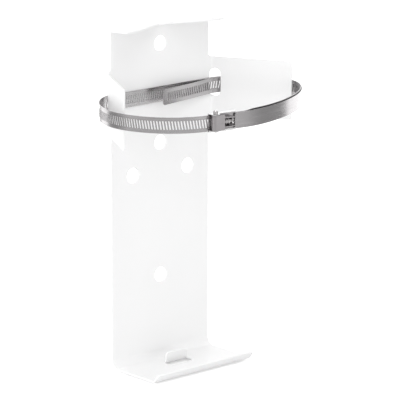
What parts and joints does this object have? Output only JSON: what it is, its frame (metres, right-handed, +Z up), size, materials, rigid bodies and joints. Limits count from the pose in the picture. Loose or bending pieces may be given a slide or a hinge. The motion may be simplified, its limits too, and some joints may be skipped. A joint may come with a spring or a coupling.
{
  "type": "cylinder wall bracket",
  "caption": "White folded-steel wall bracket with a shelf, angled wings and a slotted steel strap loop closed by a hinged worm clamp, for one upright gas cylinder.",
  "frame": {"origin": "middle of the plate's rear face, where the bracket meets the wall", "axes": "+Z up, +Y into the wall, +X to the right for someone who faces the wall"},
  "size_m": [0.2113, 0.141, 0.3161],
  "materials": {
    "white_powder_coat": "satin powder coat",
    "stainless_strap": "rolled strip",
    "pressed_stainless": "pressed sheet"
  },
  "bodies": {
    "wall_frame": {"bracket": "white_powder_coat", "strap": "stainless_strap", "clamp_saddle": "pressed_stainless", "hinge_pin": "stainless_strap"},
    "housing": {"clamp_housing": "pressed_stainless"},
    "screw": {"clamp_worm": "stainless_strap"}
  },
  "joints": [
    {"name": "housing_swing", "type": "hinge", "parent": "wall_frame", "child": "housing", "pos_m": [-0.05209, -0.13478, 0.09365], "axis": [0, 0, -1], "range_deg": [0, 110]},
    {"name": "screw_turn", "type": "hinge", "parent": "housing", "child": "screw", "pos_m": [-0.04786, -0.13464, 0.09365], "axis": [0.9877, -0.1564, 0], "continuous": true}
  ]
}
